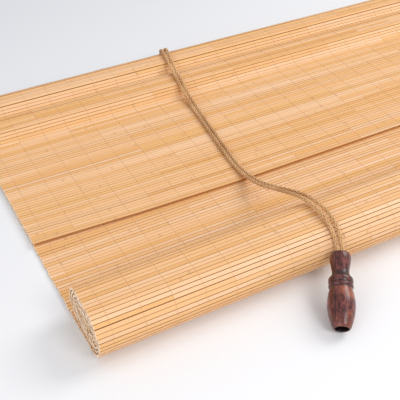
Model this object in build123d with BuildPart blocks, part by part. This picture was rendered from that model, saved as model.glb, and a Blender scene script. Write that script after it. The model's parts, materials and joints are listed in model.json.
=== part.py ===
from build123d import *
import os
from math import pi, radians, tan

# A woven bamboo roll-up blind that lies face up on a flat surface.  X runs along the sticks, +Y is
# towards the headrail and -Y towards the roll, and Z=0 is the surface that it lies on.  The mat runs
# flat from the headrail, goes under the roll, round its front and spirals in over itself.  A shorter
# woven valance wraps over the headrail and lies on top of the mat.  Lengths are in mm.

os.makedirs("parts", exist_ok=True)

# ---- Overall sizes -------------------------------------------------------------------------------
blind_width = 600.0        # length of the bamboo sticks
half_depth = 155.5         # from the origin to the roll's front, and to the tips of the hangers

# ---- Woven bamboo --------------------------------------------------------------------------------
sheet_thickness = 1.8      # a row of sticks with its threads
roll_radius = 16.0         # outside radius of the roll's front end
roll_flat = 16.0           # straight stretch between the roll's two ends
roll_gap = 0.5             # air between neighbouring turns
roll_half_turns = 11
valance_drop = 164.3       # from the headrail's front face to the valance's free edge
mat_turn_up = 8.2          # height to which the mat climbs the headrail's rear face
valance_tail = 9.4         # length of valance that hangs down behind the headrail
valance_climb = 11.3       # it leaves the mat this far in front of the lath
valance_sag = 5.1          # height of its middle between the lath and the headrail

# ---- Wooden laths --------------------------------------------------------------------------------
headrail_depth = 13.5
headrail_height = 10.5
headrail_edge = 1.5        # rounding of the headrail's long edges
lath_width = 15.5
lath_thickness = 7.0
lath_distance = 17.0       # clear distance between the valance lath and the headrail
lath_edge = 0.8
bottom_lath_width = 14.5
bottom_lath_thickness = 5.0
lath_inset = 1.0           # laths end this far inside the sticks' ends

# ---- Metal parts ---------------------------------------------------------------------------------
plate_thickness = 1.0      # folded sheet of brackets and lock
floor_clearance = 0.6      # height of the lowest metal edge
flange_top = 11.9
hanger_reach = 15.6
hanger_ear_width = 14.0
hanger_flange_width = 24.0
hanger_hole_radius = 3.0
hanger_inset = 70.0        # from the blind's end to a hanger
hanger_ear_height = 2.2    # underside of the ear above the floor
screw_head_radius = 2.1
screw_head_height = 1.1
screw_radius = 1.1
screw_length = 9.0
screw_height = 9.4         # height of the screws' axes above the floor
screw_clearance = 0.2
pilot_clearance = 0.03
pulley_inset = 130.0
pulley_radius = 4.5
pulley_thickness = 3.2
pulley_groove = 1.1
pulley_bracket_width = 24.0
cheek_gap = 3.8            # between the two cheeks of a pulley bracket
pin_radius = 1.2
pin_seat_clearance = 0.02
running_clearance = 0.06   # between a bore that turns and its pin
rim_clearance = 0.7        # between a wheel's rim and the bracket's flange
lock_x = -113.0
lock_width = 26.0
lock_inner_width = 15.0
lock_reach = 10.0
lock_height = 6.6
pawl_radius = 1.9
pawl_nose = 2.4            # reach of the pawl's toothed nose from its axis
pawl_side_gap = 0.5
pawl_teeth = 5
lock_pin_radius = 0.8
lock_pin_height = 4.0
screw_spacing = 18.0

# ---- Staples -------------------------------------------------------------------------------------
staple_count = 14      # evenly spaced, less those that a bracket covers
staple_crown = 10.0
staple_wire = 0.8
staple_leg = 7.0
staple_height = 7.6
staple_end_margin = 20.0
staple_bracket_gap = 2.0   # least distance between a staple and a bracket

# ---- Pull cords and their turned wooden pull -----------------------------------------------------
cord_diameter = 2.8
cord_spacing = 4.0         # between the two cords where they leave the lock
cord_slot_clearance = 0.2
pull_top = Vector(-139.2, -160.5, 21.85)
pull_axis = Vector(-25.65, -39.65, -16.15).normalized()
pull_length = 50.2
pull_bore_radius = 3.3
pull_socket_radius = 4.2
knot_depth = 16.8          # from the pull's mouth to the knot's seat
knot_radius = 3.9
knot_length = 7.0

# ---- Places worked out from the sizes ------------------------------------------------------------
back_y = half_depth - hanger_reach
headrail_rear = back_y - 2 * sheet_thickness
headrail_front = headrail_rear - headrail_depth
headrail_bottom = sheet_thickness
headrail_top = headrail_bottom + headrail_height
lath_rear = headrail_front - lath_distance
lath_front = lath_rear - lath_width
lath_top = sheet_thickness + lath_thickness
half_sheet = sheet_thickness / 2
front_centre_y = -half_depth + roll_radius
rear_centre_y = front_centre_y + roll_flat
turn_pitch = sheet_thickness + roll_gap
pulley_y = back_y + plate_thickness + rim_clearance + pulley_radius
cheek_top = floor_clearance + 2 * plate_thickness + cheek_gap
lock_face_y = back_y + plate_thickness
cord_y = lock_face_y + cord_slot_clearance + cord_diameter / 2 + 0.3
pawl_y = cord_y + cord_diameter / 2 + cord_slot_clearance + pawl_nose
hanger_y = half_depth - hanger_ear_width / 2
pilot_depth = screw_length - 2 * sheet_thickness - plate_thickness + 0.5
sides = {"left": -1, "right": 1}


def write(part, name):
    part.label = name
    export_step(part, f"parts/{name}.step")


def bar_section(low_y, high_y, low_z, high_z, edge):
    """The rounded cross-section of a lath that runs along X."""
    with BuildSketch(Plane.YZ) as section:
        with Locations(((low_y + high_y) / 2, (low_z + high_z) / 2)):
            RectangleRounded(high_y - low_y, high_z - low_z, edge)
    return section.sketch


def screw_places(x):
    return [(x - screw_spacing / 2, screw_height), (x + screw_spacing / 2, screw_height)]


def discs(places, radius, y):
    """Round faces at the given (x, z) places on the plane at y, ready to be extruded along +Y."""
    with BuildSketch(Plane.XZ.offset(-y)) as faces:
        with Locations(*places):
            Circle(radius)
    return faces.sketch


hanger_x = {side: sign * (blind_width / 2 - hanger_inset) for side, sign in sides.items()}
pulley_x = {side: sign * (blind_width / 2 - pulley_inset) for side, sign in sides.items()}
hanger_screws_at = screw_places(hanger_x["left"]) + screw_places(hanger_x["right"])
pulley_screws_at = screw_places(pulley_x["left"]) + screw_places(pulley_x["right"])
lock_screws_at = screw_places(lock_x)
all_screws_at = hanger_screws_at + pulley_screws_at + lock_screws_at

# ---- Staples: they go through the valance and the mat's turned-up end into the headrail ----------
bracket_spans = [(x, hanger_flange_width) for x in hanger_x.values()]
bracket_spans += [(x, pulley_bracket_width) for x in pulley_x.values()]
bracket_spans += [(lock_x, lock_width)]


def clear_of_brackets(x):
    return all(abs(x - bracket_x) > (width + staple_crown) / 2 + staple_bracket_gap
               for bracket_x, width in bracket_spans)


staple_run = blind_width - 2 * staple_end_margin
staple_steps = [-staple_run / 2 + staple_run * i / (staple_count - 1) for i in range(staple_count)]
staple_xs = [x for x in staple_steps if clear_of_brackets(x)]
with BuildPart() as staples:
    for x in staple_xs:
        with BuildSketch(Plane.XY.offset(staple_height - staple_wire / 2)):
            with Locations((x, back_y + staple_wire / 2)):
                Rectangle(staple_crown, staple_wire)
            for leg_x in (x - (staple_crown - staple_wire) / 2, x + (staple_crown - staple_wire) / 2):
                with Locations((leg_x, back_y - staple_leg / 2)):
                    Rectangle(staple_wire, staple_leg)
        extrude(amount=staple_wire)
write(staples.part, "staples")

# ---- Headrail ------------------------------------------------------------------------------------
with BuildPart() as headrail:
    section = bar_section(headrail_front, headrail_rear, headrail_bottom, headrail_top, headrail_edge)
    extrude(section, amount=blind_width / 2 - lath_inset, both=True)
    pilots = discs(all_screws_at, screw_radius + pilot_clearance, headrail_rear)
    extrude(pilots, amount=pilot_depth, dir=(0, -1, 0), mode=Mode.SUBTRACT)
    add(staples.part, mode=Mode.SUBTRACT)
write(headrail.part, "headrail")


# ---- Bamboo mat: one long woven sheet with the roll's turns --------------------------------------
def mat_edge(side):
    """One face of the mat: side is 1 for the outside of the bends and -1 for the inside."""
    shift = side * half_sheet
    bend = headrail_edge + half_sheet
    rear_y = headrail_rear + half_sheet + shift
    corner = (headrail_rear - headrail_edge, sheet_thickness + headrail_edge)
    Line((rear_y, sheet_thickness + mat_turn_up), (rear_y, corner[1]))
    CenterArc(corner, bend + shift, 0, -90)
    low_z = half_sheet
    radius = roll_radius - half_sheet
    Line((corner[0], low_z - shift), (front_centre_y, low_z - shift))
    centre_y = front_centre_y
    next_y = rear_centre_y
    start = 270
    for turn in range(roll_half_turns):
        if start == 270:
            centre_z = low_z + radius
        else:
            centre_z = high_z - radius
        CenterArc((centre_y, centre_z), radius + shift, start, -180)
        if start == 270:
            high_z = centre_z + radius
            end_z = high_z + shift
        else:
            low_z = centre_z - radius
            end_z = low_z - shift
        Line((centre_y, end_z), (next_y, end_z))
        centre_y, next_y = next_y, centre_y
        start = 360 - start
        radius -= turn_pitch / 2
    return Vector(centre_y, end_z), (low_z, high_z)


with BuildPart() as bamboo_mat:
    with BuildSketch(Plane.YZ):
        with BuildLine():
            outer_end, roll_core = mat_edge(1)
            inner_end, roll_core = mat_edge(-1)
            Line(outer_end, inner_end)
            Line((headrail_rear, sheet_thickness + mat_turn_up),
                 (headrail_rear + sheet_thickness, sheet_thickness + mat_turn_up))
        make_face()
    extrude(amount=blind_width / 2, both=True)
    screw_holes = discs(all_screws_at, screw_radius + screw_clearance, headrail_rear)
    extrude(screw_holes, amount=sheet_thickness, dir=(0, 1, 0), mode=Mode.SUBTRACT)
    add(staples.part, mode=Mode.SUBTRACT)
write(bamboo_mat.part, "bamboo_mat")
print("roll core between", roll_core)

# ---- Lath at the mat's lower end, rolled up in the core ------------------------------------------
with BuildPart() as bottom_lath:
    lath_ceiling = roll_core[1] - half_sheet
    section = bar_section(front_centre_y, front_centre_y + bottom_lath_width,
                          lath_ceiling - bottom_lath_thickness, lath_ceiling, lath_edge)
    extrude(section, amount=blind_width / 2 - lath_inset, both=True)
write(bottom_lath.part, "bottom_lath")

# ---- Flat lath between mat and valance -----------------------------------------------------------
with BuildPart() as valance_lath:
    section = bar_section(lath_front, lath_rear, sheet_thickness, lath_top, lath_edge)
    extrude(section, amount=blind_width / 2 - lath_inset, both=True)
write(valance_lath.part, "valance_lath")

# ---- Valance: lies on the mat, climbs the lath, drops behind it and wraps over the headrail ------
valance_low = sheet_thickness + half_sheet
valance_over_lath = lath_top + half_sheet
valance_over_rail = headrail_top + half_sheet
valance_rear = back_y - half_sheet
valance_route = [
    (headrail_front - valance_drop, valance_low),
    (lath_front - valance_climb, valance_low),
    (lath_front - 1.8, valance_over_lath),
    (lath_rear + 1.8, valance_over_lath),
    (lath_rear + 7.5, valance_sag),
    (headrail_front - 0.8, valance_over_rail),
    (valance_rear, valance_over_rail),
    (valance_rear, valance_over_rail - valance_tail),
]
valance_bends = [6.0, 5.0, 5.0, 3.5, 3.0, 3.0]
with BuildPart() as valance:
    with BuildSketch(Plane.YZ):
        with BuildLine():
            FilletPolyline(*valance_route, radius=valance_bends)
            offset(amount=half_sheet, side=Side.BOTH)
        make_face()
    extrude(amount=blind_width / 2, both=True)
    screw_holes = discs(all_screws_at, screw_radius + screw_clearance, back_y)
    extrude(screw_holes, amount=2 * sheet_thickness, dir=(0, -1, 0), mode=Mode.SUBTRACT)
    add(staples.part, mode=Mode.SUBTRACT)
write(valance.part, "valance")


def pan_head_screws(places):
    """Pan-head screws whose heads bear on the brackets' flanges."""
    head_y = lock_face_y
    with BuildPart() as screws:
        extrude(discs(places, screw_radius, head_y), amount=screw_length, dir=(0, -1, 0))
        extrude(discs(places, screw_head_radius, head_y), amount=screw_head_height, dir=(0, 1, 0))
        crowns = screws.faces().filter_by(Axis.Y).group_by(Axis.Y)[-1]
        fillet(crowns.edges(), screw_head_height * 0.6)
        slot_y = head_y + screw_head_height
        with BuildSketch(Plane.XZ.offset(-slot_y)):
            with Locations(*places):
                Rectangle(2.4, 0.5)
                Rectangle(0.5, 2.4)
        extrude(amount=0.5, mode=Mode.SUBTRACT)
    return screws.part


def flange_face(x, width, low_z, places):
    """The upright flange of a folded bracket, with its two screw holes."""
    height = flange_top - low_z
    with BuildSketch(Plane.XZ.offset(-back_y)) as face:
        with Locations((x, low_z + height / 2)):
            Rectangle(width, height)
        fillet(face.vertices().group_by(Axis.Z)[-1], 2.0)
        with Locations(*places):
            Circle(screw_radius + screw_clearance, mode=Mode.SUBTRACT)
    return face.sketch


# ---- Hangers: an upright flange on the headrail and an ear with a hole for a wall hook -----------
for side in sides:
    x = hanger_x[side]
    with BuildPart() as hanger:
        flange = flange_face(x, hanger_flange_width, hanger_ear_height, screw_places(x))
        extrude(flange, amount=plate_thickness, dir=(0, 1, 0))
        with BuildSketch(Plane.XY.offset(hanger_ear_height)):
            with Locations((x, (back_y + hanger_y) / 2)):
                Rectangle(hanger_ear_width, hanger_y - back_y)
            with Locations((x, hanger_y)):
                Circle(hanger_ear_width / 2)
                Circle(hanger_hole_radius, mode=Mode.SUBTRACT)
        extrude(amount=plate_thickness)
    write(hanger.part, f"hanger_{side}")
write(pan_head_screws(hanger_screws_at), "hanger_screws")

# ---- Cord pulleys: folded bracket, pin and grooved wheel that turns about Z ----------------------
for side in sides:
    x = pulley_x[side]
    with BuildPart() as bracket:
        flange = flange_face(x, pulley_bracket_width, floor_clearance, screw_places(x))
        extrude(flange, amount=plate_thickness, dir=(0, 1, 0))
        for cheek_z in (floor_clearance, cheek_top - plate_thickness):
            with BuildSketch(Plane.XY.offset(cheek_z)):
                with Locations((x, (back_y + pulley_y) / 2)):
                    Rectangle(2 * pulley_radius, pulley_y - back_y)
                with Locations((x, pulley_y)):
                    Circle(pulley_radius)
            extrude(amount=plate_thickness)
        with BuildSketch(Plane.XY.offset(floor_clearance)):
            with Locations((x, pulley_y)):
                Circle(pin_radius + pin_seat_clearance)
        extrude(amount=cheek_top - floor_clearance, mode=Mode.SUBTRACT)
    write(bracket.part, f"pulley_bracket_{side}")

    with BuildPart() as pin:
        with BuildSketch(Plane.XY.offset(floor_clearance)):
            with Locations((x, pulley_y)):
                Circle(pin_radius)
        extrude(amount=cheek_top - floor_clearance)
        with BuildSketch(Plane.XY.offset(cheek_top)):
            with Locations((x, pulley_y)):
                Circle(pin_radius + 0.6)
        extrude(amount=0.5)
    write(pin.part, f"pulley_pin_{side}")

    wheel_z = (floor_clearance + cheek_top) / 2
    half_wheel = pulley_thickness / 2
    bore = pin_radius + running_clearance
    with BuildPart() as wheel:
        with BuildSketch(Plane.XZ.offset(-pulley_y)):
            with BuildLine():
                Line((x + bore, wheel_z - half_wheel), (x + bore, wheel_z + half_wheel))
                Line((x + bore, wheel_z + half_wheel), (x + pulley_radius, wheel_z + half_wheel))
                ThreePointArc((x + pulley_radius, wheel_z + half_wheel),
                              (x + pulley_radius - pulley_groove, wheel_z),
                              (x + pulley_radius, wheel_z - half_wheel))
                Line((x + pulley_radius, wheel_z - half_wheel), (x + bore, wheel_z - half_wheel))
            make_face()
        revolve(axis=Axis((x, pulley_y, 0), (0, 0, 1)))
    write(wheel.part, f"pulley_wheel_{side}")
write(pan_head_screws(pulley_screws_at), "pulley_screws")

# ---- Cord lock: folded case, hinge pin and toothed pawl ------------------------------------------
lock_top = floor_clearance + lock_height
with BuildPart() as lock_case:
    flange = flange_face(lock_x, lock_width, floor_clearance, lock_screws_at)
    extrude(flange, amount=plate_thickness, dir=(0, 1, 0))
    with BuildSketch(Plane.YZ.offset(lock_x - lock_inner_width / 2 - plate_thickness)):
        with Locations((back_y + lock_reach / 2, (floor_clearance + lock_top) / 2)):
            Rectangle(lock_reach, lock_height)
    extrude(amount=lock_inner_width + 2 * plate_thickness)
    fillet(lock_case.edges().filter_by(Axis.X).group_by(Axis.Y)[-1], 1.5)
    with BuildSketch(Plane.YZ.offset(lock_x - lock_inner_width / 2)):
        with Locations((lock_face_y + lock_reach / 2, (floor_clearance + lock_top) / 2)):
            Rectangle(lock_reach, lock_height - 2 * plate_thickness)
    extrude(amount=lock_inner_width, mode=Mode.SUBTRACT)
    with BuildSketch(Plane.XY.offset(lock_top)):
        with Locations((lock_x, cord_y)):
            slot_width = cord_diameter + 2 * cord_slot_clearance
            SlotOverall(cord_spacing + slot_width, slot_width)
    extrude(amount=-plate_thickness, mode=Mode.SUBTRACT)
    with BuildSketch(Plane.YZ.offset(lock_x - lock_width / 2)):
        with Locations((pawl_y, lock_pin_height)):
            Circle(lock_pin_radius + pin_seat_clearance)
    extrude(amount=lock_width, mode=Mode.SUBTRACT)
write(lock_case.part, "lock_case")

with BuildPart() as lock_pin:
    pin_end = lock_x - lock_inner_width / 2 - plate_thickness
    with BuildSketch(Plane.YZ.offset(pin_end)):
        with Locations((pawl_y, lock_pin_height)):
            Circle(lock_pin_radius)
    extrude(amount=lock_inner_width + 2 * plate_thickness)
    for end_x in (pin_end - 0.4, pin_end + lock_inner_width + 2 * plate_thickness):
        with BuildSketch(Plane.YZ.offset(end_x)):
            with Locations((pawl_y, lock_pin_height)):
                Circle(lock_pin_radius + 0.5)
        extrude(amount=0.4)
write(lock_pin.part, "lock_pin")

with BuildPart() as lock_pawl:
    pawl_width = lock_inner_width - 2 * pawl_side_gap
    with BuildSketch(Plane.YZ.offset(lock_x - pawl_width / 2)):
        with Locations((pawl_y, lock_pin_height)):
            Circle(pawl_radius)
        with BuildLine():
            Polyline((pawl_y, lock_pin_height + pawl_radius),
                     (pawl_y - pawl_nose, lock_pin_height + 0.7),
                     (pawl_y - pawl_nose, lock_pin_height - 0.7),
                     (pawl_y, lock_pin_height - pawl_radius), close=True)
        make_face()
        with Locations((pawl_y, lock_pin_height)):
            Circle(lock_pin_radius + running_clearance, mode=Mode.SUBTRACT)
    extrude(amount=pawl_width)
    with BuildSketch(Plane.XY.offset(lock_pin_height - pawl_radius)):
        tooth_step = pawl_width / pawl_teeth
        tooth_xs = [lock_x + tooth_step * (i - (pawl_teeth - 1) / 2) for i in range(pawl_teeth)]
        with Locations(*[(tooth_x, pawl_y - pawl_nose) for tooth_x in tooth_xs]):
            Rectangle(0.6, 1.0)
    extrude(amount=2 * pawl_radius, mode=Mode.SUBTRACT)
write(lock_pawl.part, "lock_pawl")
write(pan_head_screws(lock_screws_at), "lock_screws")

# ---- Turned wooden pull: leans on the roll with its lower end on the surface ---------------------
# Outline as (distance from the mouth, radius), cut through the cup, neck, rings and belly.
pull_side = pull_axis.cross(Vector(0, 0, 1)).normalized()
pull_plane = Plane(origin=pull_top, x_dir=pull_axis, z_dir=pull_side)
with BuildPart() as cord_pull:
    with BuildSketch(pull_plane):
        with BuildLine():
            Line((0, pull_bore_radius + 0.8), (0, 5.8))
            Spline((0, 5.8), (3.3, 6.7), (8.8, 5.8), (14.0, 5.3), (17.3, 7.1),
                   tangents=((1, 2), (0.55, 1)))
            Line((17.3, 7.1), (18.0, 7.6))
            Line((18.0, 7.6), (20.6, 7.6))
            ThreePointArc((20.6, 7.6), (21.1, 7.0), (21.6, 7.6))
            Line((21.6, 7.6), (23.4, 7.6))
            ThreePointArc((23.4, 7.6), (23.9, 7.0), (24.4, 7.1))
            Line((24.4, 7.1), (25.1, 7.1))
            Spline((25.1, 7.1), (30.7, 8.3), (36.3, 8.6), (43.2, 7.6), (pull_length - 1.1, 5.6),
                   tangents=((1, 0.5), (0.8, -1)))
            ThreePointArc((pull_length - 1.1, 5.6), (pull_length - 0.4, 5.2), (pull_length, 4.7))
            Line((pull_length, 4.7), (pull_length, pull_socket_radius))
            Line((pull_length, pull_socket_radius), (knot_depth, pull_socket_radius))
            Line((knot_depth, pull_socket_radius), (knot_depth, pull_bore_radius))
            Line((knot_depth, pull_bore_radius), (1.5, pull_bore_radius))
            Line((1.5, pull_bore_radius), (0, pull_bore_radius + 0.8))
        make_face()
    revolve(axis=Axis(pull_top, pull_axis))
write(cord_pull.part, "cord_pull")

# ---- Knot that holds the cords in the pull's socket ----------------------------------------------
with BuildPart() as pull_knot:
    with BuildSketch(pull_plane):
        with BuildLine():
            Line((knot_depth, 0), (knot_depth, knot_radius - 0.6))
            Spline((knot_depth, knot_radius - 0.6), (knot_depth + knot_length * 0.45, knot_radius),
                   (knot_depth + knot_length, 0), tangents=((1, 1), (0, -1)))
            Line((knot_depth + knot_length, 0), (knot_depth, 0))
        make_face()
    revolve(axis=Axis(pull_top, pull_axis))
write(pull_knot.part, "pull_knot")


# ---- Pull cords: from the lock's floor over the headrail, across the roll, to the knot -----------
def on_pull_axis(distance, across, up):
    """A point beside the pull's axis: across is along pull_side and up is vertical."""
    return pull_top + pull_axis * distance + pull_side * across + Vector(0, 0, up)


cord_routes = {
    "left": [
        (-115.0, 142.8, 1.6), (-115.0, 142.8, 7.2), (-115.1, 143.1, 11.6), (-115.3, 141.6, 15.6),
        (-115.9, 136.4, 16.8), (-117.2, 128.6, 16.6), (-119.3, 119.5, 15.8), (-121.8, 107.0, 13.7),
        (-123.8, 93.0, 13.0), (-125.5, 81.0, 10.0), (-127.0, 66.0, 6.4), (-128.7, 48.0, 5.2),
        (-131.3, 29.0, 5.4), (-133.8, 9.0, 5.1), (-136.4, -11.0, 5.4), (-138.3, -28.0, 5.0),
        (-138.9, -43.0, 6.3), (-140.3, -58.0, 10.6), (-141.6, -73.0, 16.9), (-141.7, -88.0, 24.4),
        (-140.9, -101.5, 30.8), (-138.9, -113.0, 34.6), (-137.0, -124.0, 35.4),
        (-136.8, -136.5, 35.4), (-137.9, -148.6, 32.6),
    ],
    "right": [
        (-111.0, 142.8, 1.6), (-111.0, 142.8, 7.2), (-110.9, 143.1, 11.8), (-111.1, 141.4, 15.8),
        (-111.9, 136.0, 17.0), (-113.5, 128.2, 16.9), (-116.0, 119.0, 16.0), (-118.8, 106.5, 14.0),
        (-120.8, 92.5, 13.1), (-122.5, 80.5, 10.1), (-124.0, 65.5, 6.3), (-125.7, 47.5, 5.4),
        (-128.3, 28.5, 5.1), (-130.8, 8.5, 5.4), (-133.4, -11.5, 5.0), (-135.3, -28.5, 5.2),
        (-135.9, -43.5, 6.2), (-137.3, -58.5, 10.8), (-138.5, -73.5, 17.2), (-138.3, -88.5, 24.6),
        (-137.2, -102.0, 31.0), (-134.7, -113.5, 34.7), (-132.6, -124.5, 35.7),
        (-132.4, -137.0, 35.7), (-134.0, -149.4, 32.7),
    ],
}
for side, across in (("left", 1.5), ("right", -1.5)):
    route = [Vector(*point) for point in cord_routes[side]]
    route += [on_pull_axis(-4.5, across, 0.0), on_pull_axis(7.0, across, 0.25),
              on_pull_axis(knot_depth, across, 0.0)]
    runs = [(b - a).length for a, b in zip(route, route[1:])]
    turns = [(b - a).get_angle(c - b) for a, b, c in zip(route, route[1:], route[2:])]
    bends = [0.45 * min(pair) / tan(radians(turn / 2)) for pair, turn in zip(zip(runs, runs[1:]), turns)]
    with BuildPart() as pull_cord:
        with BuildLine() as path:
            FilletPolyline(*route, radius=bends)
        with BuildSketch(Plane(origin=path.line @ 0, z_dir=path.line % 0)):
            Circle(cord_diameter / 2)
        sweep(path=path.line)
    write(pull_cord.part, f"pull_cord_{side}")
    tube_length = path.wire().length
    tube_volume = tube_length * pi * cord_diameter**2 / 4
    print(side, "cord length", round(tube_length, 1), "runs", [round(run, 1) for run in runs])
    print("radii", [round(bend, 1) for bend in bends])
    print("volume ratio", round(pull_cord.part.volume / tube_volume, 4))
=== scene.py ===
# %% [markdown]
# # A woven bamboo roll-up blind
#
# This notebook dresses a bamboo blind that lies face up on a table.  Its mat runs flat from the
# headrail to the front, where it is rolled up over itself.  A shorter valance of the same weave
# wraps over the headrail, and two braided cords cross it to a turned wooden pull.
#
# The engineering model comes first and is never moved: it says where each piece is.  It could be
# rendered as it stands, but it only holds plain solids, so every cell below takes its sizes from
# those solids and lays sticks, threads, strands and finishes in the same space.  All lengths are in
# metres.

# %% Load the frame
import json
from math import cos, degrees, pi, radians, sin, tan

import bpy
import numpy as np
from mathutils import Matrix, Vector


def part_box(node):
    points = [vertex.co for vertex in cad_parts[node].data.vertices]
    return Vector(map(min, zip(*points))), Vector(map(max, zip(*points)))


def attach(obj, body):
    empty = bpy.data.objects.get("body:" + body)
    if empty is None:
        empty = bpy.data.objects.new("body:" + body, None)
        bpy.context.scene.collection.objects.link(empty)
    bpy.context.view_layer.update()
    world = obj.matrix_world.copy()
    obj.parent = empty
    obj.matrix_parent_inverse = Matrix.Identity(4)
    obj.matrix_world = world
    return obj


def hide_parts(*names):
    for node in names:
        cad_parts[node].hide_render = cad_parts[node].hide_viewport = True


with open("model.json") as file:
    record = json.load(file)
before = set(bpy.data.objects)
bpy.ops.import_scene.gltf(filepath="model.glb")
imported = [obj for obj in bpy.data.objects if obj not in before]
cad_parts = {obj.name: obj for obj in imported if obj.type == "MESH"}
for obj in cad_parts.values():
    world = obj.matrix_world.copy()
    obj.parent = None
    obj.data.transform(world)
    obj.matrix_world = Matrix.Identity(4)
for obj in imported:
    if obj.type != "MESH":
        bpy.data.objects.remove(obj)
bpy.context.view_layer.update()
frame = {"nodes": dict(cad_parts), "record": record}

scene = bpy.context.scene
mm = 0.001

# %% [markdown]
# ## The camera
#
# A camera could be placed by typing its position, but then nobody can tell what it looks at.  Here
# it is described as a person would: a point under the mat to look at, how far round and how high to
# stand, and how far away.  A lens of 70 mm from over half a metre keeps the sticks nearly parallel.

# %% Camera
aim = Vector((-0.1777, -0.0481, 0.0))
camera_round, camera_height, camera_distance = radians(-28.46), radians(39.11), 0.5614

camera = bpy.data.objects.new("camera", bpy.data.cameras.new("camera"))
camera.data.lens, camera.data.sensor_width = 70.0, 36.0
camera.data.clip_start, camera.data.clip_end = 0.01, 50.0
back = Vector((sin(camera_round) * cos(camera_height), -cos(camera_round) * cos(camera_height),
               sin(camera_height)))
camera.location = aim + back * camera_distance
camera.rotation_euler = (pi / 2 - camera_height, 0.0, camera_round)
scene.collection.objects.link(camera)
scene.camera = camera
print("camera at", camera.location)

# %% [markdown]
# ## Small helpers for node trees
#
# Both the shapes and the finishes below are node trees.  They could be drawn by hand in the editor,
# but a script can be read and run again.  One helper adds a node, sets its options, and fills its
# inputs with values or with links from other nodes.  Many nodes hold a socket for each type of data
# and switch on only those in use, so a socket's name or number counts only what is switched on.

# %% Node helpers
def socket(sockets, key):
    switched_on = [s for s in sockets if s.enabled]
    if isinstance(key, int):
        return switched_on[key]
    return next(s for s in switched_on if s.name == key)


def add(tree, kind, inputs=None, **options):
    """Adds a node.  inputs maps a socket's name or number to a value, a node or a socket."""
    made = tree.nodes.new(kind)
    for name, value in options.items():
        setattr(made, name, value)
    for key, value in (inputs or {}).items():
        if isinstance(value, bpy.types.Node):
            value = socket(value.outputs, 0)
        if isinstance(value, bpy.types.NodeSocket):
            tree.links.new(value, socket(made.inputs, key))
        else:
            socket(made.inputs, key).default_value = value
    return made


def calc(tree, operation, *values):
    return add(tree, "ShaderNodeMath", dict(enumerate(values)), operation=operation)


def vector_calc(tree, operation, *values):
    return add(tree, "ShaderNodeVectorMath", dict(enumerate(values)), operation=operation)


def combine(tree, x=0.0, y=0.0, z=0.0):
    return add(tree, "ShaderNodeCombineXYZ", {0: x, 1: y, 2: z})


def part(tree, vector, axis):
    return add(tree, "ShaderNodeSeparateXYZ", {0: vector}).outputs[axis]


def noise(tree, vector, scale, detail, dimensions="3D", **more):
    return add(tree, "ShaderNodeTexNoise",
               {"Vector": vector, "Scale": scale, "Detail": detail, **more},
               noise_dimensions=dimensions)


def remap(tree, value, start, stop, first, last):
    """Turns start to stop into first to last, and holds the value beyond them."""
    return add(tree, "ShaderNodeMapRange", {"Value": value, "From Min": start, "From Max": stop,
                                            "To Min": first, "To Max": last})


# %% [markdown]
# ## Running a Geometry Nodes tree
#
# Geometry Nodes are usually left as a live modifier.  Here each piece is kept as a plain mesh, so
# this cell makes the tree's inputs and outputs, runs it once on a base mesh, keeps what came out,
# and takes the modifier away.  Inputs are set by identifier, because two may share a name.

# %% Geometry Nodes helpers
def new_tree(name, inputs):
    """A tree with named inputs.  Returns the tree and its first and last node."""
    tree = bpy.data.node_groups.new(name, "GeometryNodeTree")
    tree.interface.new_socket("Geometry", in_out="INPUT", socket_type="NodeSocketGeometry")
    for label, kind in inputs.items():
        tree.interface.new_socket(label, in_out="INPUT", socket_type="NodeSocket" + kind)
    tree.interface.new_socket("Geometry", in_out="OUTPUT", socket_type="NodeSocketGeometry")
    return tree, tree.nodes.new("NodeGroupInput"), tree.nodes.new("NodeGroupOutput")


def close_tree(tree, end, geometry, material):
    finish = add(tree, "GeometryNodeSetMaterial", {"Geometry": geometry, "Material": material})
    tree.links.new(finish.outputs[0], end.inputs[0])


def store(tree, geometry, name, value, domain="POINT", data_type="FLOAT"):
    """Leaves a value on the geometry under a name, for later nodes and for the finishes."""
    return add(tree, "GeometryNodeStoreNamedAttribute",
               {"Geometry": geometry, "Name": name, "Value": value},
               data_type=data_type, domain=domain)


def stored(tree, name, data_type="FLOAT"):
    return add(tree, "GeometryNodeInputNamedAttribute", {"Name": name}, data_type=data_type)


def grow(name, base, tree, values):
    """Runs the tree on a base mesh and keeps the result as a plain mesh object."""
    piece = bpy.data.objects.new(name, base)
    scene.collection.objects.link(piece)
    modifier = piece.modifiers.new("grow", "NODES")
    modifier.node_group = tree
    for item in tree.interface.items_tree:
        if item.in_out == "INPUT" and item.name in values:
            modifier[item.identifier] = values[item.name]
    bpy.context.view_layer.update()
    depsgraph = bpy.context.evaluated_depsgraph_get()
    mesh = bpy.data.meshes.new_from_object(piece.evaluated_get(depsgraph),
                                           preserve_all_data_layers=True, depsgraph=depsgraph)
    piece.modifiers.remove(modifier)
    piece.data = mesh
    mesh.calc_loop_triangles()
    print(name, "has", len(mesh.loop_triangles), "triangles")
    return piece


def line_mesh(name, points):
    """A mesh of edges only, along the points, as the base that a tree follows."""
    mesh = bpy.data.meshes.new(name)
    edges = [(i, i + 1) for i in range(len(points) - 1)]
    mesh.from_pydata([tuple(p) for p in points], edges, [])
    return mesh
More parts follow.
